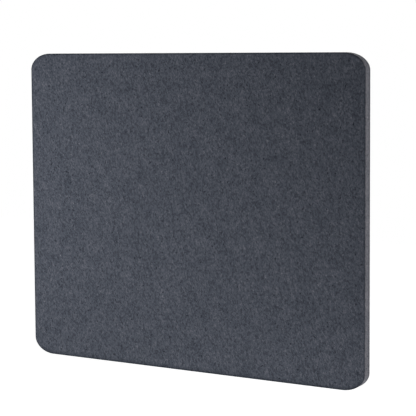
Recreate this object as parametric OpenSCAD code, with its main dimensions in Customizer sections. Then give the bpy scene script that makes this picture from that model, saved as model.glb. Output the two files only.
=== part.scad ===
// Acoustic divider screen that clamps to the end of a desktop.
// X runs along the screen, Y from the open face of the felt towards the desktop, Z up.
// The origin is midway between the clamps, on the edge where the desktop's end face meets its upper face.

/* [Panel] */
// Width of the felt panel
panel_w = 610; // [520:10:900]
// Height of the felt panel
panel_h = 508; // [400:4:700]
// Thickness of each outer felt face
face_t = 1.5; // [1:0.5:4]
// Thickness of the denser felt core
core_t = 15; // [10:1:20]
// Length of each rounded corner along the width
corner_w = 38; // [20:1:60]
// Length of each rounded corner along the height
corner_h = 27; // [15:1:45]
// How far the lower edge of the panel hangs below the upper face of the desktop
panel_drop = 50; // [40:1:90]

/* [Desktop] */
// Thickness of the desktop that the clamps are set to
desk_t = 22; // [20:1:26]
// Thinnest desktop that the clamps close on
desk_t_min = 18; // [12:1:19]
// Thickest desktop that the clamps open for
desk_t_max = 30; // [28:1:40]

/* [Clamp frame] */
// Distance from each end of the panel to the middle of its clamp
clamp_inset = 105; // [60:5:150]
// Width of a clamp frame
frame_w = 50; // [48:1:70]
// Thickness of the upright spine
spine_t = 4.5; // [3:0.5:8]
// Thickness of the upper jaw where it leaves the spine
upper_jaw_t = 7; // [5:0.5:9]
// Thickness of the upper jaw at its tip
jaw_tip_t = 4; // [3:0.5:5]
// Thickness of the lower jaw
lower_jaw_t = 6; // [5:0.5:9]
// Reach of both jaws past the end face of the desktop
jaw_reach = 48; // [46:1:60]
// Height of the flange above the upper jaw
flange_rise = 57; // [54:1:80]
// Radius of the flange's upper corners
flange_corner_r = 8; // [4:1:12]
// Radius of the jaws' front corners
jaw_corner_r = 14; // [8:1:18]
// Radius of the fillets inside the frame
fillet_r = 2; // [1:0.5:3]
// Thickness of the rib between flange and upper jaw
rib_t = 5; // [3:0.5:7]
// Reach of the rib along the upper jaw
rib_reach = 34; // [20:1:42]
// Height of the rib above the upper jaw
rib_rise = 30; // [20:1:40]

/* [Rubber pads] */
// Thickness of the pad under the upper jaw
jaw_pad_t = 2; // [1:0.5:3]
// Thickness of the bumper between spine and desktop
bumper_t = 1.5; // [1:0.5:3]
// Margin between the jaw pad and the outline of its jaw
pad_margin = 3; // [2:0.5:5]
// Height of the bumper
bumper_h = 14; // [8:1:14]
// Width of the bumper
bumper_w = 40; // [20:1:44]

/* [Panel screws] */
// Distance between the columns of screws
screw_pitch_x = 30; // [24:1:32]
// Distance between the rows of screws
screw_pitch_z = 28; // [20:1:32]
// Distance from the upper row of screws to the top of the flange
row_setback = 14; // [8:1:16]
// Radius of a screw's shank
bolt_r = 2.5; // [2:0.5:3]
// Length of a screw's shank
bolt_len = 12; // [9:1:12]
// Radius of a screw's button head
bolt_head_r = 4.75; // [4.25:0.25:5.5]
// Height of a screw's button head
bolt_head_h = 2.75; // [2.25:0.25:3]
// Width across the flats of a screw's hexagon socket
bolt_socket_w = 3; // [2:0.5:3]
// Length of a threaded insert
insert_len = 10; // [9:0.5:11]
// Wall of a threaded insert
insert_wall = 1.2; // [0.8:0.1:2]
// Radius of an insert's flange
insert_flange_r = 6.5; // [5.5:0.5:9]
// Thickness of an insert's flange
insert_flange_t = 1; // [0.5:0.1:1.4]

/* [Clamp screw] */
// Radius of the clamp screw's thread
thread_r = 4; // [3:0.5:5]
// Distance from the tips of the jaws to the axis of the clamp screw
axis_setback = 16; // [15:1:22]
// Width across the flats of the clamp screw's head
screw_head_w = 13; // [10:0.5:14]
// Thickness of the clamp screw's head
screw_head_t = 5.3; // [4:0.1:6]
// Radius of the plain tip that carries the foot
tip_r = 2.5; // [2:0.25:2.75]
// Wall of the threaded bush
bush_wall = 2; // [1.5:0.5:3]
// Width of the bush's flange around its wall
bush_flange_w = 2; // [1:0.5:3]
// Thickness of the bush's flange
bush_flange_t = 1.5; // [1:0.5:3]
// Length of bush that stands below the lower jaw
bush_proud = 1.5; // [1:0.5:4]
// Width of the jaw's boss around the bush
boss_wall = 3.5; // [2:0.5:5]

/* [Foot] */
// Radius of the swivel foot
foot_r = 13; // [11:1:15]
// Thickness of the foot's steel plate
foot_plate_t = 5; // [4.5:0.5:7]
// Thickness of the plate's floor around the screw's tip
foot_floor_t = 2; // [1.5:0.5:2]
// Radius of the recess that holds the retaining ring
foot_recess_r = 7; // [6:0.5:9]
// Thickness of the foot's rubber pad
foot_pad_t = 2; // [1:0.5:4]
// Tilt of the foot each way, in degrees
foot_tilt = 5; // [2:1:5]
// Radius of the retaining ring
ring_r = 4.6; // [4.3:0.1:4.8]
// Thickness of the retaining ring
ring_t = 0.8; // [0.5:0.1:1]

/* [Knob] */
// Radius of the knob over its lobes
knob_r = 13; // [12:0.5:16]
// Height of the knob
knob_h = 9.5; // [8.5:0.5:14]
// Number of lobes
knob_lobes = 6; // [5:1:8]
// Radius of each lobe
lobe_r = 3.6; // [2.5:0.1:4]
// Rounding of the knob's upper and lower rims
knob_round = 1.6; // [0.8:0.1:2.5]
// Radius of the cap that closes the knob from below
cap_r = 8.6; // [8.5:0.1:9.5]
// Thickness of the cap
cap_t = 1.5; // [1:0.1:2]

/* [Hidden] */
$fn = 64;

// Colours
felt_colour = [0.30, 0.31, 0.34];
core_colour = [0.42, 0.43, 0.45];
frame_colour = [0.09, 0.09, 0.10];
rubber_colour = [0.05, 0.05, 0.05];
plastic_colour = [0.12, 0.12, 0.13];
zinc_colour = [0.68, 0.69, 0.70];
steel_colour = [0.55, 0.56, 0.58];
brass_colour = [0.72, 0.60, 0.34];

// Clearances
thread_gap = 0.05;
fit_gap = 0.05;
ring_gap = 0.1;
bolt_hole_gap = 0.25;
foot_play = 0.45;
foot_clear = 0.37;
knob_gap = 0.5;
cut_over = 1;
fuse = 0.5;

// Small features of named pieces
corner_steps = 18;
socket_depth_share = 0.6;
head_rim_share = 0.3;
tip_neck_share = 0.76;
tip_chamfer = 0.4;
tip_over = 0.8;
tip_hole_gap = 0.7;
ring_mouth = 2.4;
plate_chamfer = 0.8;
pad_round = 0.6;
frame_low_r = 2;
lobe_depth_share = 0.62;
cap_dish = 0.4;
hex_faces = 6;
across_corners = 1 / cos(30);

// Places along Y
spine_front = -bumper_t;
spine_back = spine_front - spine_t;
core_back = spine_back - face_t;
core_front = core_back - core_t;
axis_y = jaw_reach - axis_setback;

// Heights
panel_low = -panel_drop;
panel_top = panel_low + panel_h;
upper_jaw_low = jaw_pad_t;
upper_jaw_top = upper_jaw_low + upper_jaw_t;
rib_root = upper_jaw_top - upper_jaw_t / 2;
flange_top = upper_jaw_top + flange_rise;
upper_row = flange_top - row_setback;
lower_row = upper_row - screw_pitch_z;
foot_top = -desk_t;
foot_plate_top = foot_top - foot_pad_t;
foot_plate_low = foot_plate_top - foot_plate_t;
foot_floor_top = foot_plate_low + foot_floor_t;
foot_room = foot_r * sin(foot_tilt) + foot_clear;
lower_jaw_top = -(desk_t_max + foot_pad_t + foot_plate_t + foot_room);
lower_jaw_low = lower_jaw_top - lower_jaw_t;
bush_low = lower_jaw_low - bush_proud;
knob_top = bush_low - knob_gap - (desk_t - desk_t_min);
knob_low = knob_top - knob_h;
screw_head_low = knob_low + cap_t;
screw_head_top = screw_head_low + screw_head_t;
shoulder = foot_plate_low - foot_play;
ring_low = foot_floor_top + foot_play + ring_gap / 2;
ring_top = ring_low + ring_t;
tip_top = ring_top + tip_over;

// Radii of turned pieces
bush_r = thread_r + bush_wall;
bush_flange_r = bush_r + bush_flange_w;
boss_r = bush_r + boss_wall;
insert_r = bolt_r + insert_wall;
tip_neck_r = tip_neck_share * tip_r;

// Two dimensional outlines

// Outline of the panel, with corners that are quarter ellipses
function panel_outline() = [
    for (quarter = [0:3], step = [0:corner_steps])
        let (
            angle = 90 * (quarter + step / corner_steps),
            side = (quarter == 0 || quarter == 3) ? 1 : -1,
            rise = (quarter < 2) ? 1 : -1
        )
        [
            side * (panel_w / 2 - corner_w) + corner_w * cos(angle),
            (panel_low + panel_top) / 2 + rise * (panel_h / 2 - corner_h) + corner_h * sin(angle)
        ]
];

// Plate of width w between two heights, with its own radius at the lower and upper corners
module rounded_plate(w, low, high, low_r, high_r) {
    translate([-w / 2, low + low_r]) square([w, high - low - low_r - high_r]);
    translate([-w / 2 + low_r, low]) square([w - 2 * low_r, low_r]);
    translate([-w / 2 + high_r, high - high_r]) square([w - 2 * high_r, high_r]);
    for (side = [-1, 1]) {
        translate([side * (w / 2 - low_r), low + low_r]) circle(low_r);
        translate([side * (w / 2 - high_r), high - high_r]) circle(high_r);
    }
}

// Plan of the jaws, with rounded front corners
module jaw_plan() {
    translate([-frame_w / 2, spine_back]) square([frame_w, jaw_reach - jaw_corner_r - spine_back]);
    translate([-frame_w / 2 + jaw_corner_r, spine_back])
        square([frame_w - 2 * jaw_corner_r, jaw_reach - spine_back]);
    for (side = [-1, 1])
        translate([side * (frame_w / 2 - jaw_corner_r), jaw_reach - jaw_corner_r]) circle(jaw_corner_r);
}

// Concave fillet in the corner at the origin, on the side that along_y and along_z point to
module fillet(r, along_y, along_z) {
    difference() {
        translate([along_y < 0 ? -r : -fuse, along_z < 0 ? -r : -fuse]) square(r + fuse);
        translate([along_y * r, along_z * r]) circle(r);
    }
}

// Side view of the clamp frame, in Y and Z
module frame_profile() {
    translate([spine_back, lower_jaw_low]) square([spine_t, flange_top - lower_jaw_low]);
    polygon([
        [spine_back, upper_jaw_low], [jaw_reach, upper_jaw_low],
        [jaw_reach, upper_jaw_low + jaw_tip_t], [spine_front, upper_jaw_top], [spine_back, upper_jaw_top]
    ]);
    translate([spine_back, lower_jaw_low]) square([jaw_reach - spine_back, lower_jaw_t]);
    translate([spine_front, upper_jaw_low]) fillet(fillet_r, 1, -1);
    translate([spine_front, lower_jaw_top]) fillet(fillet_r, 1, 1);
}

// Places

module at_clamp(side) {
    translate([side * (panel_w / 2 - clamp_inset), 0, 0]) children();
}

module at_axis(height) {
    translate([0, axis_y, height]) children();
}

// Carries a side view in Y and Z along X
module along_x(width) {
    rotate([90, 0, 90]) linear_extrude(width, center = true) children();
}

// Carries a front view in X and Z back from the plane at y_high
module back_from(y_high, depth) {
    translate([0, y_high, 0]) rotate([90, 0, 0]) linear_extrude(depth) children();
}

// The four screws of one clamp, pointing along -Y with their seats on the plane y
module at_panel_screws(y) {
    for (side = [-1, 1], height = [lower_row, upper_row])
        translate([side * screw_pitch_x / 2, y, height]) rotate([90, 0, 0]) children();
}

// Felt panel

module front_felt_face() {
    color(felt_colour) back_from(core_front, face_t) polygon(panel_outline());
}

module felt_core() {
    color(core_colour) difference() {
        back_from(core_back, core_t) polygon(panel_outline());
        for (side = [-1, 1]) at_clamp(side) insert_pockets();
    }
}

module back_felt_face() {
    color(felt_colour) difference() {
        back_from(spine_back, face_t) polygon(panel_outline());
        for (side = [-1, 1]) at_clamp(side) insert_pockets();
    }
}

// Space that the threaded inserts take up in the felt
module insert_pockets() {
    at_panel_screws(spine_back) {
        translate([0, 0, -cut_over]) cylinder(h = insert_len + cut_over, r = insert_r + fit_gap);
        translate([0, 0, -cut_over]) cylinder(h = insert_flange_t + cut_over, r = insert_flange_r + fit_gap);
    }
}

// Fixed pieces of a clamp

module clamp_frame() {
    color(frame_colour) difference() {
        union() {
            intersection() {
                along_x(frame_w) frame_profile();
                translate([0, 0, lower_jaw_low]) linear_extrude(flange_top - lower_jaw_low) jaw_plan();
                back_from(jaw_reach, jaw_reach - spine_back)
                    rounded_plate(frame_w, lower_jaw_low, flange_top, frame_low_r, flange_corner_r);
            }
            along_x(rib_t) polygon([
                [spine_front - fuse, rib_root], [rib_reach, rib_root],
                [rib_reach, upper_jaw_low + jaw_tip_t], [spine_front, upper_jaw_top + rib_rise],
                [spine_front - fuse, upper_jaw_top + rib_rise]
            ]);
            at_axis(bush_low) cylinder(h = bush_proud + fuse, r = boss_r);
        }
        at_axis(bush_low - cut_over)
            cylinder(h = lower_jaw_top - bush_low + 2 * cut_over, r = bush_r + fit_gap);
        at_axis(lower_jaw_top - bush_flange_t)
            cylinder(h = bush_flange_t + cut_over, r = bush_flange_r + fit_gap);
        at_panel_screws(spine_front + cut_over)
            cylinder(h = spine_t + 2 * cut_over, r = bolt_r + bolt_hole_gap);
    }
}

module jaw_pad() {
    color(rubber_colour) linear_extrude(jaw_pad_t)
        rounded_plate(
            frame_w - 2 * pad_margin, spine_front + fillet_r + pad_margin, jaw_reach - pad_margin,
            pad_margin, jaw_corner_r - pad_margin
        );
}

module edge_bumper() {
    color(rubber_colour) back_from(0, bumper_t)
        rounded_plate(bumper_w, -fillet_r - bumper_h, -fillet_r, pad_margin, pad_margin);
}

module screw_bush() {
    color(brass_colour) difference() {
        union() {
            at_axis(bush_low) cylinder(h = lower_jaw_top - bush_low, r = bush_r);
            at_axis(lower_jaw_top - bush_flange_t) cylinder(h = bush_flange_t, r = bush_flange_r);
        }
        at_axis(bush_low - cut_over)
            cylinder(h = lower_jaw_top - bush_low + 2 * cut_over, r = thread_r + thread_gap);
    }
}

// Button-head screws that hold the panel to the flange
module mounting_screws() {
    color(zinc_colour) at_panel_screws(spine_front) difference() {
        union() {
            cylinder(h = bolt_len, r = bolt_r);
            translate([0, 0, -bolt_head_h]) rotate_extrude() button_head();
        }
        translate([0, 0, -bolt_head_h - cut_over])
            cylinder(
                h = socket_depth_share * bolt_head_h + cut_over, r = across_corners * bolt_socket_w / 2,
                $fn = hex_faces
            );
    }
}

// Half section of a button head, crown down at height zero
module button_head() {
    crown_h = bolt_head_h * (1 - head_rim_share);
    crown_r = (bolt_head_r ^ 2 + crown_h ^ 2) / (2 * crown_h);
    intersection() {
        square([bolt_head_r, bolt_head_h]);
        translate([0, crown_r]) circle(crown_r);
    }
}

module threaded_inserts() {
    color(brass_colour) at_panel_screws(spine_back) difference() {
        union() {
            cylinder(h = insert_len, r = insert_r);
            cylinder(h = insert_flange_t, r = insert_flange_r);
        }
        translate([0, 0, -cut_over]) cylinder(h = insert_len + 2 * cut_over, r = bolt_r + thread_gap);
    }
}

// Moving pieces of a clamp

module retaining_ring() {
    color(steel_colour) at_axis(ring_low) difference() {
        cylinder(h = ring_t, r = ring_r);
        translate([0, 0, -cut_over]) cylinder(h = ring_t + 2 * cut_over, r = tip_neck_r + ring_gap);
        translate([0, -ring_mouth / 2, -cut_over])
            cube([ring_r + cut_over, ring_mouth, ring_t + 2 * cut_over]);
    }
}

// Hexagon-head screw with a plain grooved tip that carries the foot
module clamp_screw() {
    color(zinc_colour) {
        at_axis(screw_head_low)
            cylinder(h = screw_head_t, r = across_corners * screw_head_w / 2, $fn = hex_faces);
        translate([0, axis_y, 0]) rotate_extrude() polygon([
            [0, screw_head_top - fuse], [thread_r, screw_head_top - fuse],
            [thread_r, shoulder], [tip_r, shoulder],
            [tip_r, ring_low - ring_gap], [tip_neck_r, ring_low - ring_gap],
            [tip_neck_r, ring_top + ring_gap], [tip_r, ring_top + ring_gap],
            [tip_r, tip_top - tip_chamfer], [tip_r - tip_chamfer, tip_top], [0, tip_top]
        ]);
    }
}

// Star knob with a hexagon pocket for the screw's head
module thumb_knob() {
    color(plastic_colour) difference() {
        intersection() {
            at_axis(knob_low) linear_extrude(knob_h) star();
            translate([0, axis_y, 0]) rotate_extrude() knob_section();
        }
        at_axis(knob_low - cut_over) cylinder(h = cap_t + cut_over, r = cap_r + fit_gap);
        at_axis(knob_low - cut_over)
            cylinder(
                h = screw_head_top - knob_low + cut_over, r = across_corners * screw_head_w / 2 + fit_gap,
                $fn = hex_faces
            );
        at_axis(knob_low) cylinder(h = knob_h + cut_over, r = thread_r + thread_gap);
    }
}

// Plan of the knob
module star() {
    circle(knob_r - lobe_depth_share * lobe_r);
    for (lobe = [0:knob_lobes - 1])
        rotate(360 * lobe / knob_lobes) translate([knob_r - lobe_r, 0]) circle(lobe_r);
}

// Half section of the knob's turned envelope
module knob_section() {
    translate([0, knob_low]) square([knob_r - knob_round, knob_h]);
    translate([0, knob_low + knob_round]) square([knob_r, knob_h - 2 * knob_round]);
    for (height = [knob_low + knob_round, knob_top - knob_round])
        translate([knob_r - knob_round, height]) circle(knob_round);
}

module knob_cap() {
    color(plastic_colour) translate([0, axis_y, 0]) rotate_extrude() polygon([
        [0, knob_low + cap_dish], [cap_r - 2 * cap_dish, knob_low + cap_dish], [cap_r - cap_dish, knob_low],
        [cap_r, knob_low], [cap_r, knob_low + cap_t], [0, knob_low + cap_t]
    ]);
}

module foot_plate() {
    color(steel_colour) translate([0, axis_y, 0]) rotate_extrude() polygon([
        [tip_r + tip_hole_gap, foot_plate_low], [foot_r - plate_chamfer, foot_plate_low],
        [foot_r, foot_plate_low + plate_chamfer], [foot_r, foot_plate_top],
        [foot_recess_r, foot_plate_top], [foot_recess_r, foot_floor_top],
        [tip_r + tip_hole_gap, foot_floor_top]
    ]);
}

module foot_pad() {
    color(rubber_colour) translate([0, axis_y, 0]) rotate_extrude() polygon([
        [0, foot_plate_top], [foot_r, foot_plate_top], [foot_r, foot_top - pad_round],
        [foot_r - pad_round, foot_top], [0, foot_top]
    ]);
}

front_felt_face();
felt_core();
back_felt_face();

at_clamp(-1) clamp_frame();  // left_clamp_frame
at_clamp(-1) jaw_pad();  // left_jaw_pad
at_clamp(-1) edge_bumper();  // left_edge_bumper
at_clamp(-1) screw_bush();  // left_screw_bush
at_clamp(-1) mounting_screws();  // left_mounting_screws
at_clamp(-1) threaded_inserts();  // left_threaded_inserts
at_clamp(-1) retaining_ring();  // left_retaining_ring
at_clamp(-1) clamp_screw();  // left_clamp_screw
at_clamp(-1) thumb_knob();  // left_thumb_knob
at_clamp(-1) knob_cap();  // left_knob_cap
at_clamp(-1) foot_plate();  // left_foot_plate
at_clamp(-1) foot_pad();  // left_foot_pad

at_clamp(1) clamp_frame();  // right_clamp_frame
at_clamp(1) jaw_pad();  // right_jaw_pad
at_clamp(1) edge_bumper();  // right_edge_bumper
at_clamp(1) screw_bush();  // right_screw_bush
at_clamp(1) mounting_screws();  // right_mounting_screws
at_clamp(1) threaded_inserts();  // right_threaded_inserts
at_clamp(1) retaining_ring();  // right_retaining_ring
at_clamp(1) clamp_screw();  // right_clamp_screw
at_clamp(1) thumb_knob();  // right_thumb_knob
at_clamp(1) knob_cap();  // right_knob_cap
at_clamp(1) foot_plate();  // right_foot_plate
at_clamp(1) foot_pad();  // right_foot_pad
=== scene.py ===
"""Acoustic divider screen: a felt panel and two screw clamps for the end of a desktop.

Lengths are in metres and angles in degrees, unless a comment says otherwise.
"""
import math

import bmesh
import bpy
from mathutils import Euler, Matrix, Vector, noise


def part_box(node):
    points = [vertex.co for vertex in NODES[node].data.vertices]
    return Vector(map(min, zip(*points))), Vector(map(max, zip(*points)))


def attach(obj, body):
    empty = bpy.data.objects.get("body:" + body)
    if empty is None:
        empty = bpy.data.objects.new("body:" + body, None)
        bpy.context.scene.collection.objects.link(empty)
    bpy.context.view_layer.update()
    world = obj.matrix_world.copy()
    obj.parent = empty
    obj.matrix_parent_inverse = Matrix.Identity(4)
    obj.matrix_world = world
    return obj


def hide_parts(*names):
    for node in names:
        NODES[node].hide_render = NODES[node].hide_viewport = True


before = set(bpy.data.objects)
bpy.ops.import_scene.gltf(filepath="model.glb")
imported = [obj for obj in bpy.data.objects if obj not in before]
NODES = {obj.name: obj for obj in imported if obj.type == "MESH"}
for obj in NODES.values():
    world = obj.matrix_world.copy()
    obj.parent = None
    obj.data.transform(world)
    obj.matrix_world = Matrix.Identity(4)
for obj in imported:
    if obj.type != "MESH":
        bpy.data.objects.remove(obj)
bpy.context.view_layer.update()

SIDES = ("left", "right")

# The photograph's camera; its lens and its sensor's width are in millimetres
CAMERA_PLACE = (1.1321, -1.9303, 0.4640)
CAMERA_YAW = 29.870
CAMERA_PITCH = -4.440
CAMERA_ROLL = -0.360
LENS = 121.56
SENSOR = 36.0
CAMERA_SHIFT = -0.12

# Studio; the background looks WHITE and lights the object at AMBIENT, and each lamp has its place,
# the point that it faces, its diameter and its power in watts
AMBIENT = 0.12
WHITE = 1.0
FLOOR_HEIGHT = -0.73
FLOOR_HALF = 6.0
FLOOR_COLOUR = (0.8, 0.8, 0.8, 1)
FLOOR_LIFT = 0.92
LAMPS = {
    "key": ((-0.612, -0.859, 0.273), (-0.10, 0, 0.16), 0.5, 9.0),
    "low_fill": ((0.256, -0.400, -0.284), (0.10, 0, 0.10), 0.4, 1.07),
    "edge_light": ((1.7, 0.35, 0.25), (0.3, 0, 0.2), 0.8, 8.7),
    "rear_light": ((-0.5, 1.9, 1.1), (0, 0, 0.1), 1.2, 26.0),
}

# Meshes; edges sharper than the smooth angle stay sharp
TURNED_SEGMENTS = 48
WELD = 0.000001
SMOOTH_ANGLE = 35
FELT_SMOOTH = 50
RUBBER_SMOOTH = 40
SCREW_SMOOTH = 28

# Felt panel's form; each corner is a quarter of an ellipse
CORNER_W = 0.038
CORNER_H = 0.027
CORNER_STEPS = 18
COLUMNS = 140
ROWS = 126
ARRIS = 0.0009
ARRIS_STEPS = 3
SEAM = 0.0003
SIDE_START = 0.00005
CORE_RINGS = 9

# Felt's relief; waves are counted per metre
RELIEF_FINE = 0.00010
RELIEF_BROAD = 0.00022
RELIEF_FADE = 0.01
FINE_WAVES_X = 95
FINE_WAVES_Z = 80
BROAD_WAVES = 14
BROAD_SEED = 7
EDGE_RELIEF = 0.00012
EDGE_WAVES = 240
EDGE_LAYER_WAVES = 700
FRONT_SEED = 3
CORE_SEED = 17
BACK_SEED = 31

# Tone of the felt's rim and side; four values are for the left, right, lower and upper edge. The
# rim's darkening is painted shade, strongest along the lower edge, over a slightly darker pressed
# edge; the back ply's cut edge and the rear of the core's get painted shade too; and the arris
# turns pale from its ring number given below outwards, as a painted highlight on the right edge
RIM = 0.0016
RIM_FADE = 0.0032
# Painted shade along the felt's edges, by edge, and how far in it reaches
RIM_SHADE_SHARES = (0.73, 0.40, 1.0, 0.68)
SHADE_FADE_SHARES = (0, 0, 0.5, 0)
# Painted highlight: how pale the front ply's arris turns at each edge, and from which ring
ARRIS_HIGHLIGHT_SHARES = (0, 0.8, 0, 0)
ARRIS_HIGHLIGHT_START = 2
NO_EDGE = (0, 0, 0, 0)
EVERY_EDGE = (1, 1, 1, 1)
EDGE_REACH = 0.002
# Painted shade on the back ply's cut edge, and on the core's cut edge from this share of its depth
# backwards
BACK_SHADE = 0.8
BACK_SHADE_START = 0.55

# Felt's material; a grain is its scale, detail, roughness and, where it curls, distortion, a noise
# is detail and roughness alone, and a stop is a place on the grain and how light the felt is there
FELT_SHADER = {
    "Roughness": 0.95, "Specular IOR Level": 0.06, "Sheen Weight": 0.03, "Sheen Roughness": 0.6}
FACE_COLOUR = (0.0670, 0.0748, 0.0943)
SIDE_COLOUR = (0.236, 0.239, 0.271)
SHADE_POWERS = (1.09, 0.983, 0.883)
LAY_TURN = -15
FACE_FIBRES = 445.0
CORE_FIBRES = 430.0
CORE_LAYERS = 3.0
FIBRE_STRETCH = 1.50
FIBRE_DEPTH = -0.00265
FIBRE_NOISE = (5.0, 0.68)
FIBRE_STOPS = ((0.215, 0.14), (0.5, 1.0), (0.785, 1.95))
DRIFT_STRETCH = 5.6
DRIFT_GRAIN = (260, 2.0, 0.5)
DRIFT_STOPS = ((0.3, 0.90), (0.7, 1.08))
CLOUD_GRAIN = (36, 2.0, 0.5)
CLOUD_STOPS = ((0.3, 0.85), (0.7, 1.03))
STRAND_TURNS = (-56, -14, 33)
STRAND_STRETCH = 7
STRAND_GRAIN = (1300, 1.0, 0.5, 1.2)
STRAND_STOPS = ((0.28, 0.55), (0.36, 1.0), (0.64, 1.0), (0.72, 1.6))
NUB_GRAIN = (240, 1.0, 0.4)
NUB_STOPS = ((0.69, 1.0), (0.76, 0.30))
FLECK_STOPS = ((0.18, 0.06), (0.25, 0.0))
# Painted shade: how dark the felt turns where the edge darkening is full
RIM_SHADE_STOPS = ((0.0, 1.0), (1.0, 0.45))
FUZZ_FINER = 2.6
FUZZ_NOISE = (3.0, 0.7)
FUZZ_SHARE = 0.6
FUZZ_STRENGTH = 0.5
FUZZ_DISTANCE = 0.0006

# Other materials: dark and pale tone, grain's scale, shader's values, bump's strength and distance
TONE_PLACES = (0.3, 0.7)
TONE_COARSER = 9
TONE_NOISE = (3.0, 0.6)
GRAINED = {
    "powder_coat": (
        (0.010, 0.010, 0.011), (0.016, 0.016, 0.017), 1500,
        {"Roughness": 0.52, "Specular IOR Level": 0.5}, 0.35, 0.0002),
    "rubber": (
        (0.011, 0.011, 0.011), (0.018, 0.018, 0.018), 1100,
        {"Roughness": 0.78, "Specular IOR Level": 0.4}, 0.25, 0.0002),
    "moulded_plastic": (
        (0.014, 0.014, 0.015), (0.020, 0.020, 0.021), 2200, {"Roughness": 0.42}, 0.25, 0.0001),
    "zinc_plate": (
        (0.30, 0.31, 0.33), (0.42, 0.43, 0.45), 900,
        {"Roughness": 0.34, "Metallic": 1.0}, 0.08, 0.0001),
    "spring_steel": (
        (0.20, 0.20, 0.21), (0.30, 0.30, 0.31), 900,
        {"Roughness": 0.35, "Metallic": 1.0}, 0.08, 0.0001),
    "brass_turned": (
        (0.50, 0.37, 0.16), (0.60, 0.46, 0.22), 900,
        {"Roughness": 0.28, "Metallic": 1.0}, 0.08, 0.0001),
}

# Materials of the CAD nodes that show as they are
CAD_LOOKS = {
    "screw_bush": "brass_turned",
    "threaded_inserts": "brass_turned",
    "retaining_ring": "spring_steel",
    "knob_cap": "moulded_plastic",
    "foot_plate": "zinc_plate",
}

# Pockets in the felt for the threaded inserts
INSERT_RADIUS = 0.00375
INSERT_LENGTH = 0.010
INSERT_FLANGE_RADIUS = 0.00655
INSERT_FLANGE_DEPTH = 0.001
POCKET_OVER = 0.001
POCKET_SLACK = 0.0001
POCKET_SEGMENTS = 24

# Button-head screws; a mouth ring is its reach beyond the socket and its depth below the crown
SHANK_RADIUS = 0.0025
SHANK_BEVEL = 0.0005
BUTTON_RADIUS = 0.00475
BUTTON_HEIGHT = 0.00275
BUTTON_RIM = 0.0008
BUTTON_BEVEL = 0.00015
CROWN_RINGS = 10
SOCKET_ACROSS = 0.003
SOCKET_DEPTH = 0.00165
MOUTH_LIP = 0.0002
MOUTH_RINGS = ((0.0001, 0.00005), (0, 0.0002))

# Castings and mouldings
MERGE_ANGLE = 0.5
SHARP_ANGLE = 30
ROUND_SEGMENTS = 2
ROUND_PROFILE = 0.5
FRAME_ROUND = 0.0006
KNOB_ROUND = 0.0004

# Clamp screws; the thread's form gives its radius at shares of the pitch
AXIS_Y = 0.032
PITCH = 0.00125
CREST_RADIUS = 0.004
ROOT_RADIUS = 0.00325
THREAD_FORM = ((0.0, ROOT_RADIUS), (0.22, CREST_RADIUS), (0.34, CREST_RADIUS), (0.56, ROOT_RADIUS))
SPARE_TURNS = 2
TIP_RADIUS = 0.0025
TIP_STEP = 0.0002
NECK_RADIUS = 0.0019
NECK_PLAY = 0.0001
FOOT_PLAY = 0.00045
HEAD_ACROSS = 0.013
HEAD_HEIGHT = 0.0053
HEAD_CHAMFER = 0.94
SCREW_BEVEL = 0.0004

# Rubber; a foot groove's form is steps from its middle line and down from the face
RUBBER_EDGE = 0.0004
RIB_STEPS = 160
GROOVE_SHARE = 0.35
JAW_RIBS = {
    "low_round": 0.003, "high_round": 0.011, "pitch": 0.004, "depth": 0.0005, "lip": 0.004}
BUMPER_RIBS = {
    "low_round": 0.003, "high_round": 0.003, "pitch": 0.003, "depth": 0.0005, "lip": 0.0025}
FOOT_SEGMENTS = 64
FOOT_LOW_BEVEL = 0.0002
FOOT_HIGH_BEVEL = 0.0006
FOOT_GROOVES = (0.0104, 0.0078, 0.0052, 0.0026)
FOOT_GROOVE_FORM = ((0.0005, 0), (0.0004, 0.0005), (-0.0004, 0.0005), (-0.0005, 0))


# Meshes

def to_object(name, made, smooth_angle=SMOOTH_ANGLE):
    """Turns a bmesh into an object, with edges sharper than the angle kept sharp."""
    bmesh.ops.recalc_face_normals(made, faces=made.faces)
    mesh = bpy.data.meshes.new(name)
    made.to_mesh(mesh)
    made.free()
    mesh.shade_smooth()
    mesh.set_sharp_from_angle(angle=math.radians(smooth_angle))
    piece = bpy.data.objects.new(name, mesh)
    bpy.context.scene.collection.objects.link(piece)
    return piece


def dress(piece, material, body, slot, *nodes):
    """Gives a piece its material and its body, and hides the CAD nodes that it stands for; its slot
    is not used.
    """
    piece.data.materials.clear()
    piece.data.materials.append(material)
    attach(piece, body)
    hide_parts(*nodes)


def bridge(made, first, second, closed=True):
    """Quads between two rows of as many vertices."""
    count = len(first)
    for k in range(count if closed else count - 1):
        after = (k + 1) % count
        made.faces.new((first[k], first[after], second[after], second[k]))


def skin(made, rings, start=True, end=True):
    """Quads between rings in turn, and a flat face across the first and the last."""
    for first, second in zip(rings, rings[1:]):
        bridge(made, first, second)
    if start:
        made.faces.new(rings[0])
    if end:
        made.faces.new(rings[-1])


def around_z(x, y):
    """Turns two offsets and a height into a point, for rings around a vertical line."""
    return lambda across, along, height: (x + across, y + along, height)


def turned(made, place, angle, radius, height):
    """Vertex at an angle, a radius and a height around a line."""
    return made.verts.new(place(radius * math.cos(angle), radius * math.sin(angle), height))


def ring(made, place, height, radius, count=TURNED_SEGMENTS):
    """Ring of vertices around a line; the radius is a number or a function of the angle."""
    verts = []
    for k in range(count):
        angle = 2 * math.pi * k / count
        reach = radius(angle) if callable(radius) else radius
        verts.append(turned(made, place, angle, reach, height))
    return verts


def lathe(made, profile, place, count=TURNED_SEGMENTS, start=True, end=True):
    """Turned shape through (radius, height) rings, with a flat face at its start and its end."""
    skin(made, [ring(made, place, height, radius, count) for radius, height in profile], start, end)


def hexagon(corner, cap=math.inf):
    """Radius by angle of a hexagon with its corners that far out, rounded off at the cap."""
    flat = corner * math.cos(math.pi / 6)
    return lambda angle: min(cap, flat / math.cos(angle % (math.pi / 3) - math.pi / 6))


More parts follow.
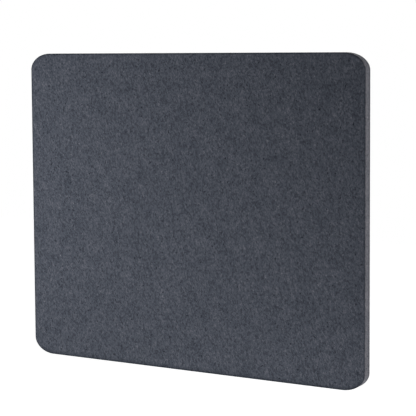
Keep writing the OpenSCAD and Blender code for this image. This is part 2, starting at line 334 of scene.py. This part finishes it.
def corner_places(low, high, radius):
    """Axes along Y of the four round pieces that fill a box to its corners."""
    return [
        (x, z) for x in (low.x + radius, high.x - radius)
        for z in (low.z + radius, high.z - radius)]


# Felt panel

def panel_sizes(node):
    """Half width, half height and middle height of a felt node, and its two faces' places."""
    low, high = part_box(node)
    return ((high.x - low.x) / 2, (high.z - low.z) / 2, (high.z + low.z) / 2), low.y, high.y


def panel_columns(half_w, half_h, inset):
    """Place along the width and half height of each column of the panel, less an inset."""
    flat_w, flat_h = half_w - CORNER_W, half_h - CORNER_H
    bend = []
    for k in range(CORNER_STEPS + 1):
        angle = math.pi / 2 * k / CORNER_STEPS
        x = flat_w + (CORNER_W - inset) * math.sin(angle)
        bend.append((x, flat_h + (CORNER_H - inset) * math.cos(angle)))
    left = [(-x, rise) for x, rise in reversed(bend)]
    even = [(flat_w * (2 * k / COLUMNS - 1), half_h - inset) for k in range(1, COLUMNS)]
    return left + even + bend


def panel_outline(half_w, half_h, inset):
    """Points around the panel, counter-clockwise from the lower left as seen from the front."""
    columns = panel_columns(half_w, half_h, inset)
    steps = [2 * k / ROWS - 1 for k in range(1, ROWS)]
    side_x, side_rise = columns[-1]
    low = [(x, -rise) for x, rise in columns]
    right = [(side_x, step * side_rise) for step in steps]
    high = [(x, rise) for x, rise in reversed(columns)]
    left = [(-side_x, -step * side_rise) for step in steps]
    return low + right + high + left


def relief(x, z, seed):
    """Slight unevenness of pressed felt."""
    fine = noise.noise(Vector((x * FINE_WAVES_X, seed, z * FINE_WAVES_Z)))
    broad = noise.noise(Vector((x * BROAD_WAVES, seed + BROAD_SEED, z * BROAD_WAVES)))
    return RELIEF_FINE * fine + RELIEF_BROAD * broad


def felt_face(made, sizes, inset, y, outward, seed):
    """Uneven face of a ply; returns its border in the order of panel_outline."""
    half_w, half_h, middle = sizes
    grid = []
    for x, rise in panel_columns(half_w, half_h, inset):
        line = []
        for k in range(ROWS + 1):
            z = (2 * k / ROWS - 1) * rise
            border = min(half_w - abs(x), half_h - abs(z)) / RELIEF_FADE
            height = relief(x, z, seed) * max(0.0, min(1.0, border))
            line.append(made.verts.new((x, y + outward * height, middle + z)))
        grid.append(line)
    for first, second in zip(grid, grid[1:]):
        bridge(made, first, second, closed=False)
    low = [line[0] for line in grid]
    right = grid[-1][1:-1]
    high = [line[-1] for line in reversed(grid)]
    left = list(reversed(grid[0][1:-1]))
    return low + right + high + left


def edge_ring(made, sizes, inset, y, seed):
    """One ring of the panel's cut edge, uneven like felt."""
    half_w, half_h, middle = sizes
    verts = []
    for x, z in panel_outline(half_w, half_h, inset):
        out = Vector((x / half_w, z / half_h)).normalized()
        wave = noise.noise(Vector((x * EDGE_WAVES, y * EDGE_LAYER_WAVES + seed, z * EDGE_WAVES)))
        push = EDGE_RELIEF * wave
        verts.append(made.verts.new((x + out.x * push, y, middle + z + out.y * push)))
    return verts


def edge_mix(place, sizes, values):
    """Mean of the values of the left, right, lower and upper edge, weighted by nearness."""
    half_w, half_h, middle = sizes
    up = place.z - middle
    gaps = (half_w + place.x, half_w - place.x, half_h + up, half_h - up)
    weights = [1 / (abs(gap) + EDGE_REACH) ** 2 for gap in gaps]
    return sum(weight * value for weight, value in zip(weights, values)) / sum(weights)


def felt_ply(name, node, front, seed):
    """Outer ply with an uneven face, a rounded arris and a soft seam against the core.

    Two attributes drive its material: "rim" darkens the felt with painted shade near its edges,
    over a slightly darker pressed edge, and on the back ply's cut edge, and "side" turns it to the
    pale cut edge, with a painted highlight on the right arris.
    """
    sizes, low, high = panel_sizes(node)
    face, inner, outward = (low, high, -1) if front else (high, low, 1)
    side_shade = 0 if front else BACK_SHADE
    made = bmesh.new()
    rim_shade = made.verts.layers.float.new("rim_shade")
    side = made.verts.layers.float.new("side")
    last = felt_face(made, sizes, RIM_FADE, face, outward, seed)
    # Painted shade reaches into the face's border along the lower edge
    for vert in last:
        vert[rim_shade] = edge_mix(vert.co, sizes, SHADE_FADE_SHARES)
    steps = [(RIM, face, NO_EDGE), (ARRIS, face, NO_EDGE)]
    for k in range(1, ARRIS_STEPS + 1):
        angle = math.pi / 2 * k / ARRIS_STEPS
        y = face - outward * ARRIS * (1 - math.cos(angle))
        # Painted highlight on the outer rings of the front ply's right arris
        side_and_highlight_edges = ARRIS_HIGHLIGHT_SHARES if front and k >= ARRIS_HIGHLIGHT_START else NO_EDGE
        steps.append((ARRIS * (1 - math.sin(angle)), y, side_and_highlight_edges))
    steps += [
        (0, face - outward * (ARRIS + SIDE_START), EVERY_EDGE),
        (0, inner + outward * SEAM, EVERY_EDGE),
        (SEAM, inner, EVERY_EDGE),
    ]
    # Pale share: the cut edge's own colour, with a painted highlight on the right arris; the
    # darkening is painted shade near the edges over a slightly darker pressed edge, and on the back
    # ply's cut edge
    for inset, y, side_and_highlight_edges in steps:
        verts = edge_ring(made, sizes, inset, y, seed)
        for vert in verts:
            pale = edge_mix(vert.co, sizes, side_and_highlight_edges)
            vert[side] = pale
            vert[rim_shade] = (1 - pale) * edge_mix(vert.co, sizes, RIM_SHADE_SHARES) + pale * side_shade
        bridge(made, last, verts)
        last = verts
    made.faces.new(last)
    return to_object(name, made, FELT_SMOOTH)


def felt_core(name, node, seed):
    """Core ply; its "rim" attribute darkens the rear of its cut edge with painted shade."""
    sizes, low, high = panel_sizes(node)
    made = bmesh.new()
    rim_shade = made.verts.layers.float.new("rim_shade")
    edge = high - low - 2 * SEAM
    steps = [(0, low + SEAM + edge * k / (CORE_RINGS - 1)) for k in range(CORE_RINGS)]
    rings = []
    for inset, y in [(SEAM, low), *steps, (SEAM, high)]:
        depth = (y - low) / (high - low)
        verts = edge_ring(made, sizes, inset, y, seed)
        for vert in verts:
            # Painted shade towards the rear of the cut edge
            vert[rim_shade] = BACK_SHADE * max(0, depth - BACK_SHADE_START) / (1 - BACK_SHADE_START)
        rings.append(verts)
    skin(made, rings)
    return to_object(name, made, FELT_SMOOTH)


def pocket(made, x, z, seat):
    """Space of one threaded insert, along Y into the felt from its seat."""
    flange = seat - INSERT_FLANGE_DEPTH
    profile = [
        (INSERT_RADIUS, seat - INSERT_LENGTH - POCKET_SLACK), (INSERT_RADIUS, flange),
        (INSERT_FLANGE_RADIUS, flange), (INSERT_FLANGE_RADIUS, seat + POCKET_OVER),
    ]
    lathe(made, profile, lambda across, down, y: (x + across, y, z - down), POCKET_SEGMENTS)


def insert_pockets():
    """Cutter for the places of the threaded inserts."""
    made = bmesh.new()
    for side in SIDES:
        low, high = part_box(f"{side}_threaded_inserts")
        for x, z in corner_places(low, high, INSERT_FLANGE_RADIUS):
            pocket(made, x, z, high.y)
    return to_object("pockets", made)


def cut(piece, cutter):
    """Takes the cutter's space out of a piece."""
    modifier = piece.modifiers.new("pockets", "BOOLEAN")
    modifier.object = cutter
    modifier.operation = "DIFFERENCE"
    modifier.solver = "EXACT"
    evaluated = piece.evaluated_get(bpy.context.evaluated_depsgraph_get())
    shape = bpy.data.meshes.new_from_object(evaluated)
    piece.modifiers.clear()
    old = piece.data
    piece.data = shape
    bpy.data.meshes.remove(old)


# Clamp pieces

def softened(name, node, width):
    """Copy of a CAD node's mesh with its flat faces merged and its sharp edges rounded."""
    made = bmesh.new()
    made.from_mesh(NODES[node].data)
    bmesh.ops.remove_doubles(made, verts=made.verts, dist=WELD)
    bmesh.ops.dissolve_limit(
        made, angle_limit=math.radians(MERGE_ANGLE), verts=made.verts, edges=made.edges)
    sharp = [
        edge for edge in made.edges
        if edge.is_manifold and edge.calc_face_angle() > math.radians(SHARP_ANGLE)]
    bmesh.ops.bevel(
        made, geom=sharp, offset=width, segments=ROUND_SEGMENTS, profile=ROUND_PROFILE,
        affect="EDGES", clamp_overlap=True)
    return to_object(name, made, SHARP_ANGLE)


def helical_thread(made, place, low, high):
    """Thread between two heights; its spare turns are pressed flat onto the root's circles."""
    count = TURNED_SEGMENTS
    turns = math.ceil((high - low) / PITCH) + SPARE_TURNS
    rows = []
    for k in range(count * turns + 1):
        angle = 2 * math.pi * k / count
        base = low - PITCH + PITCH * k / count
        row = []
        for share, radius in THREAD_FORM:
            height = min(max(base + share * PITCH, low), high)
            reach = min(radius, ROOT_RADIUS + (high - height), ROOT_RADIUS + (height - low))
            row.append(turned(made, place, angle, reach, height))
        rows.append(row)
    columns = list(zip(*rows))
    for first, second in zip(columns, columns[1:]):
        bridge(made, first, second, closed=False)
    bridge(made, columns[-1][:-count], columns[0][count:], closed=False)


def clamp_screw(side):
    """Hexagon-head screw with a cut thread and a grooved tip."""
    node = f"{side}_clamp_screw"
    low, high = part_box(node)
    ring_low, ring_high = (corner.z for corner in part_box(f"{side}_retaining_ring"))
    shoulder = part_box(f"{side}_foot_plate")[0].z - FOOT_PLAY
    head_top = low.z + HEAD_HEIGHT
    place = around_z((low.x + high.x) / 2, AXIS_Y)
    tip = [
        (ROOT_RADIUS, shoulder),
        (TIP_RADIUS + TIP_STEP, shoulder), (TIP_RADIUS, shoulder + TIP_STEP),
        (TIP_RADIUS, ring_low - NECK_PLAY), (NECK_RADIUS, ring_low - NECK_PLAY),
        (NECK_RADIUS, ring_high + NECK_PLAY), (TIP_RADIUS, ring_high + NECK_PLAY),
        (TIP_RADIUS, high.z - SCREW_BEVEL), (TIP_RADIUS - SCREW_BEVEL, high.z),
    ]
    corner = HEAD_ACROSS / 2 / math.cos(math.pi / 6)
    full, chamfered = hexagon(corner), hexagon(corner, HEAD_CHAMFER * corner)
    head = [
        (chamfered, low.z), (full, low.z + SCREW_BEVEL), (full, head_top - SCREW_BEVEL),
        (chamfered, head_top), (ROOT_RADIUS, head_top),
    ]
    made = bmesh.new()
    helical_thread(made, place, head_top, shoulder)
    lathe(made, tip, place, start=False)
    lathe(made, head, place, end=False)
    bmesh.ops.remove_doubles(made, verts=made.verts, dist=WELD)
    bmesh.ops.dissolve_degenerate(made, edges=made.edges, dist=WELD)
    return to_object(f"{side}_screw_threaded", made, SCREW_SMOOTH)


def button_screw(made, x, z, tip, seat):
    """Button-head screw along Y, with a smooth crown and a hexagon socket."""
    crown = BUTTON_HEIGHT - BUTTON_RIM
    ball = (BUTTON_RADIUS ** 2 + crown ** 2) / (2 * crown)
    ball_centre = seat + BUTTON_HEIGHT - ball
    mouth = SOCKET_ACROSS / 2 / math.cos(math.pi / 6)
    profile = [
        (SHANK_RADIUS - SHANK_BEVEL, tip), (SHANK_RADIUS, tip + SHANK_BEVEL), (SHANK_RADIUS, seat),
        (BUTTON_RADIUS - BUTTON_BEVEL, seat), (BUTTON_RADIUS, seat + BUTTON_BEVEL),
        (BUTTON_RADIUS, seat + BUTTON_RIM),
    ]
    for k in range(1, CROWN_RINGS + 1):
        radius = BUTTON_RADIUS + (mouth + MOUTH_LIP - BUTTON_RADIUS) * k / CROWN_RINGS
        profile.append((radius, ball_centre + math.sqrt(ball ** 2 - radius ** 2)))
    top = profile[-1][1]
    profile += [(hexagon(mouth + reach), top - depth) for reach, depth in MOUTH_RINGS]
    profile.append((hexagon(mouth), seat + BUTTON_HEIGHT - SOCKET_DEPTH))
    lathe(made, profile, lambda across, up, y: (x + across, y, z + up))


def button_screws(side):
    """The four screws of one clamp."""
    low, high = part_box(f"{side}_mounting_screws")
    made = bmesh.new()
    for x, z in corner_places(low, high, BUTTON_RADIUS):
        button_screw(made, x, z, low.y, high.y - BUTTON_HEIGHT)
    return to_object(f"{side}_button_screws", made, SCREW_SMOOTH)


# Rubber pieces

def rib_rows(low, high, half, low_round, high_round, pitch, depth, lip):
    """Rows of a ribbed plate with round corners: place, half width and how deep the face lies."""
    rows = []
    for k in range(RIB_STEPS + 1):
        place = low + (high - low) * k / RIB_STEPS
        reach = half
        for start, radius, sign in ((low, low_round, 1), (high, high_round, -1)):
            along = radius - sign * (place - start)
            if along > 0:
                reach = min(reach, half - radius + math.sqrt(max(radius ** 2 - along ** 2, 0)))
        phase = (place - low - lip) % pitch
        grooved = low + lip < place < high - lip and phase < GROOVE_SHARE * pitch
        rows.append((place, reach, depth if grooved else 0))
    return rows


def rubber_section(reach, back, face):
    """Points across a rubber plate, from its back over its bevelled face to its back."""
    shoulder = face + math.copysign(RUBBER_EDGE, back - face)
    inner = reach - RUBBER_EDGE
    return [
        (-reach, back), (-reach, shoulder), (-inner, face),
        (inner, face), (reach, shoulder), (reach, back)]


def rubber_bar(name, rows, place):
    """Closed bar through (value, section) rows; place turns a value and a point into a corner."""
    made = bmesh.new()
    rings = [[made.verts.new(place(value, *point)) for point in section] for value, section in rows]
    skin(made, rings)
    return to_object(name, made, RUBBER_SMOOTH)


def jaw_pad(side):
    """Rubber pad with grooves across its underside."""
    low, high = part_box(f"{side}_jaw_pad")
    middle, half = (low.x + high.x) / 2, (high.x - low.x) / 2
    rows = [
        (y, rubber_section(reach, high.z, low.z + groove))
        for y, reach, groove in rib_rows(low.y, high.y, half, **JAW_RIBS)]
    return rubber_bar(f"{side}_jaw_rubber", rows, lambda y, across, z: (middle + across, y, z))


def edge_bumper(side):
    """Rubber bumper with grooves across its face."""
    low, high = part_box(f"{side}_edge_bumper")
    middle, half = (low.x + high.x) / 2, (high.x - low.x) / 2
    rows = [
        (z, rubber_section(reach, low.y, high.y - groove))
        for z, reach, groove in rib_rows(low.z, high.z, half, **BUMPER_RIBS)]
    return rubber_bar(f"{side}_bumper_rubber", rows, lambda z, across, y: (middle + across, y, z))


def foot_pad(side):
    """Rubber disc with round grooves in its upper face."""
    low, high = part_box(f"{side}_foot_pad")
    radius = (high.x - low.x) / 2
    profile = [
        (radius - FOOT_LOW_BEVEL, low.z), (radius, low.z + FOOT_LOW_BEVEL),
        (radius, high.z - FOOT_HIGH_BEVEL), (radius - FOOT_HIGH_BEVEL, high.z),
    ]
    for groove in FOOT_GROOVES:
        profile += [(groove + step, high.z - drop) for step, drop in FOOT_GROOVE_FORM]
    made = bmesh.new()
    lathe(made, profile, around_z((low.x + high.x) / 2, AXIS_Y), FOOT_SEGMENTS)
    return to_object(f"{side}_foot_rubber", made)


# Materials

def shader_material(name, constants):
    """New material; its constant values are set on the shader's own sockets."""
    made = bpy.data.materials.new(name)
    made.use_nodes = True
    shader = made.node_tree.nodes["Principled BSDF"]
    for socket, value in constants.items():
        shader.inputs[socket].default_value = value
    return made, made.node_tree, shader


def stretched(tree, scale=(1, 1, 1), turn=0, depth=0.0):
    """Object coordinates for a texture stretched, turned in the panel's face and set back."""
    place = tree.nodes.new("ShaderNodeTexCoord")
    mapping = tree.nodes.new("ShaderNodeMapping")
    mapping.vector_type = "TEXTURE"
    mapping.inputs["Location"].default_value = (0, depth, 0)
    mapping.inputs["Rotation"].default_value = (0, math.radians(turn), 0)
    mapping.inputs["Scale"].default_value = scale
    tree.links.new(place.outputs["Object"], mapping.inputs["Vector"])
    return mapping.outputs["Vector"]


def grain(tree, vector, scale, detail=2.0, roughness=0.5, distortion=0.0):
    """Noise of one grain size."""
    made = tree.nodes.new("ShaderNodeTexNoise")
    made.inputs["Scale"].default_value = scale
    made.inputs["Detail"].default_value = detail
    made.inputs["Roughness"].default_value = roughness
    made.inputs["Distortion"].default_value = distortion
    tree.links.new(vector, made.inputs["Vector"])
    return made.outputs["Fac"]


def ramp(tree, value, stops):
    """Colour ramp with (place, grey or colour) stops."""
    made = tree.nodes.new("ShaderNodeValToRGB")
    band = made.color_ramp
    while len(band.elements) < len(stops):
        band.elements.new(0.5)
    for element, (place, colour) in zip(band.elements, stops):
        element.position = place
        element.color = (*colour, 1) if isinstance(colour, tuple) else (colour, colour, colour, 1)
    tree.links.new(value, made.inputs["Fac"])
    return made.outputs["Color"]


def shades(stops, colour=(1, 1, 1)):
    """Stops of a ramp that makes felt darker or lighter; darker felt is a little bluer."""
    return [
        (place, tuple(part * level ** power for part, power in zip(colour, SHADE_POWERS)))
        for place, level in stops]


def blend(tree, kind, share, first, second):
    """Mix of two colours; share is a number or a socket."""
    made = tree.nodes.new("ShaderNodeMix")
    made.data_type = "RGBA"
    made.blend_type = kind
    if isinstance(share, float):
        made.inputs["Factor"].default_value = share
    else:
        tree.links.new(share, made.inputs["Factor"])
    tree.links.new(first, made.inputs["A"])
    tree.links.new(second, made.inputs["B"])
    return made.outputs["Result"]


def bump(tree, shader, height, strength, distance):
    """Gives a shader the small relief of a texture."""
    made = tree.nodes.new("ShaderNodeBump")
    made.inputs["Strength"].default_value = strength
    made.inputs["Distance"].default_value = distance
    tree.links.new(height, made.inputs["Height"])
    tree.links.new(made.outputs["Normal"], shader.inputs["Normal"])


def attribute(tree, name):
    """Value of a mesh attribute, 0 where a mesh has none of that name."""
    made = tree.nodes.new("ShaderNodeAttribute")
    made.attribute_type = "GEOMETRY"
    made.attribute_name = name
    return made.outputs["Fac"]


def felt_material(name, colour, side_colour, fibres, layers=1.0):
    """Heathered felt: fibres of many tones, drifts, clouds, crossing strands, nubs and flecks."""
    made, tree, shader = shader_material(name, FELT_SHADER)
    plain = stretched(tree)
    along = stretched(tree, (1, 1 / layers, FIBRE_STRETCH), LAY_TURN, FIBRE_DEPTH)
    drifting = stretched(tree, (1, 1 / layers, DRIFT_STRETCH), LAY_TURN)
    heather = grain(tree, along, fibres, *FIBRE_NOISE)
    nubs = grain(tree, plain, *NUB_GRAIN)
    shading = [
        (grain(tree, drifting, *DRIFT_GRAIN), DRIFT_STOPS),
        (grain(tree, plain, *CLOUD_GRAIN), CLOUD_STOPS)]
    for turn in STRAND_TURNS:
        strands = stretched(tree, (1, 1, STRAND_STRETCH), turn)
        shading.append((grain(tree, strands, *STRAND_GRAIN), STRAND_STOPS))
    shading.append((nubs, NUB_STOPS))
    face, side = (ramp(tree, heather, shades(FIBRE_STOPS, base)) for base in (colour, side_colour))
    # Pale cut edge, with a painted highlight on the right arris
    tone = blend(tree, "MIX", attribute(tree, "side"), face, side)
    for value, stops in shading:
        tone = blend(tree, "MULTIPLY", 1.0, tone, ramp(tree, value, shades(stops)))
    tone = blend(tree, "ADD", 1.0, tone, ramp(tree, nubs, FLECK_STOPS))
    # Painted shade near the edges and on the back cut edges
    tone = blend(tree, "MULTIPLY", 1.0, tone, ramp(tree, attribute(tree, "rim_shade"), shades(RIM_SHADE_STOPS)))
    tree.links.new(tone, shader.inputs["Base Color"])
    fuzz = grain(tree, along, FUZZ_FINER * fibres, *FUZZ_NOISE)
    height = blend(tree, "ADD", FUZZ_SHARE, heather, fuzz)
    bump(tree, shader, height, FUZZ_STRENGTH, FUZZ_DISTANCE)
    return made


def grained_material(name, dark, pale, scale, constants, strength, distance):
    """Solid material with a fine surface grain and slight variation of tone."""
    made, tree, shader = shader_material(name, constants)
    vector = stretched(tree)
    clouds = grain(tree, vector, scale / TONE_COARSER, *TONE_NOISE)
    tone = ramp(tree, clouds, list(zip(TONE_PLACES, (dark, pale))))
    tree.links.new(tone, shader.inputs["Base Color"])
    bump(tree, shader, grain(tree, vector, scale), strength, distance)
    return made


# Studio

def light_share(tree):
    """1 for rays from the camera, in reflections and through glass, else 0."""
    path = tree.nodes.new("ShaderNodeLightPath")
    share = path.outputs["Is Camera Ray"]
    for kind in ("Is Glossy Ray", "Is Transmission Ray"):
        larger = tree.nodes.new("ShaderNodeMath")
        larger.operation = "MAXIMUM"
        tree.links.new(share, larger.inputs[0])
        tree.links.new(path.outputs[kind], larger.inputs[1])
        share = larger.outputs[0]
    return share


def spread(tree, share, low, high):
    """Value that runs from low to high as a share runs from 0 to 1."""
    made = tree.nodes.new("ShaderNodeMapRange")
    made.inputs["To Min"].default_value = low
    made.inputs["To Max"].default_value = high
    tree.links.new(share, made.inputs["Value"])
    return made.outputs["Result"]


def build_world():
    """White background that lights the object only a little."""
    world = bpy.data.worlds.new("studio")
    bpy.context.scene.world = world
    world.use_nodes = True
    tree = world.node_tree
    background = tree.nodes["Background"]
    background.inputs["Color"].default_value = (1, 1, 1, 1)
    tree.links.new(spread(tree, light_share(tree), AMBIENT, WHITE), background.inputs["Strength"])


def build_floor():
    """Pale floor that keeps the object's shadow; from below it is clear and blocks no view."""
    made = bmesh.new()
    made.faces.new([
        made.verts.new((FLOOR_HALF * x, FLOOR_HALF * y, FLOOR_HEIGHT))
        for x, y in ((-1, -1), (1, -1), (1, 1), (-1, 1))])
    floor = to_object("floor", made)
    material = bpy.data.materials.new("floor_paint")
    material.use_nodes = True
    tree = material.node_tree
    tree.nodes.remove(tree.nodes["Principled BSDF"])
    paint = tree.nodes.new("ShaderNodeBsdfDiffuse")
    paint.inputs["Color"].default_value = FLOOR_COLOUR
    glow = tree.nodes.new("ShaderNodeEmission")
    both = tree.nodes.new("ShaderNodeAddShader")
    tree.links.new(spread(tree, light_share(tree), 0, FLOOR_LIFT), glow.inputs["Strength"])
    tree.links.new(paint.outputs[0], both.inputs[0])
    tree.links.new(glow.outputs[0], both.inputs[1])
    geometry = tree.nodes.new("ShaderNodeNewGeometry")
    clear = tree.nodes.new("ShaderNodeBsdfTransparent")
    surface = tree.nodes.new("ShaderNodeMixShader")
    tree.links.new(geometry.outputs["Backfacing"], surface.inputs[0])
    tree.links.new(both.outputs[0], surface.inputs[1])
    tree.links.new(clear.outputs[0], surface.inputs[2])
    tree.links.new(surface.outputs[0], tree.nodes["Material Output"].inputs["Surface"])
    floor.data.materials.append(material)


def area_lamp(name, place, target, size, power):
    """Round lamp that faces a point."""
    light = bpy.data.lights.new(name, "AREA")
    light.shape = "DISK"
    light.size = size
    light.energy = power
    lamp = bpy.data.objects.new(name, light)
    lamp.location = place
    lamp.rotation_euler = (Vector(target) - Vector(place)).to_track_quat("-Z", "Y").to_euler()
    lamp.visible_camera = False
    bpy.context.scene.collection.objects.link(lamp)


def build_camera():
    """The photograph's camera, as solved from the panel's outline."""
    lens = bpy.data.cameras.new("photo_camera")
    lens.lens = LENS
    lens.sensor_width = SENSOR
    lens.shift_y = CAMERA_SHIFT
    camera = bpy.data.objects.new("photo_camera", lens)
    turn = Euler((math.radians(90 + CAMERA_PITCH), 0, math.radians(CAMERA_YAW)), "XYZ").to_matrix()
    roll = Euler((0, 0, math.radians(CAMERA_ROLL)), "XYZ").to_matrix()
    camera.rotation_euler = (turn @ roll).to_euler()
    camera.location = CAMERA_PLACE
    bpy.context.scene.collection.objects.link(camera)
    bpy.context.scene.camera = camera
    bpy.context.scene.view_settings.view_transform = "Standard"


def build_studio():
    """Camera, background, floor and lamps."""
    build_camera()
    build_world()
    build_floor()
    for name, settings in LAMPS.items():
        area_lamp(name, *settings)


# Assembly

def build_panel():
    """The three plies of felt, with pockets for the clamps' inserts in the rear two."""
    face = felt_material("felt_face", FACE_COLOUR, SIDE_COLOUR, FACE_FIBRES)
    core = felt_material("felt_core", SIDE_COLOUR, SIDE_COLOUR, CORE_FIBRES, CORE_LAYERS)
    pockets = insert_pockets()
    front = felt_ply("felt_front", "front_felt_face", True, FRONT_SEED)
    middle = felt_core("felt_middle", "felt_core", CORE_SEED)
    back = felt_ply("felt_back", "back_felt_face", False, BACK_SEED)
    cut(middle, pockets)
    cut(back, pockets)
    bpy.data.objects.remove(pockets)
    dress(front, face, "screen", "face_felt", "front_felt_face")
    dress(middle, core, "screen", "core_felt", "felt_core")
    dress(back, face, "screen", "face_felt", "back_felt_face")


def recolour(node, material):
    """Gives a CAD node that shows as it is its material."""
    for place in NODES[node].material_slots:
        place.material = material


def build_clamp(side, looks):
    """The pieces of one clamp that are drawn anew, and the materials of the others."""
    pieces = (
        (softened(f"{side}_frame_casting", f"{side}_clamp_frame", FRAME_ROUND),
         "powder_coat", "screen", "black_powder_coat", "clamp_frame"),
        (jaw_pad(side), "rubber", "screen", "black_rubber", "jaw_pad"),
        (edge_bumper(side), "rubber", "screen", "black_rubber", "edge_bumper"),
        (foot_pad(side), "rubber", f"{side}_foot", "black_rubber", "foot_pad"),
        (button_screws(side), "zinc_plate", "screen", "zinc_steel", "mounting_screws"),
        (clamp_screw(side), "zinc_plate", f"{side}_screw", "zinc_steel", "clamp_screw"),
        (softened(f"{side}_knob_moulding", f"{side}_thumb_knob", KNOB_ROUND),
         "moulded_plastic", f"{side}_screw", "black_plastic", "thumb_knob"),
    )
    for piece, look, body, slot, node in pieces:
        dress(piece, looks[look], body, slot, f"{side}_{node}")
    for node, look in CAD_LOOKS.items():
        recolour(f"{side}_{node}", looks[look])


def main():
    """Builds the scene."""
    build_studio()
    build_panel()
    looks = {name: grained_material(name, *settings) for name, settings in GRAINED.items()}
    for side in SIDES:
        build_clamp(side, looks)


main()
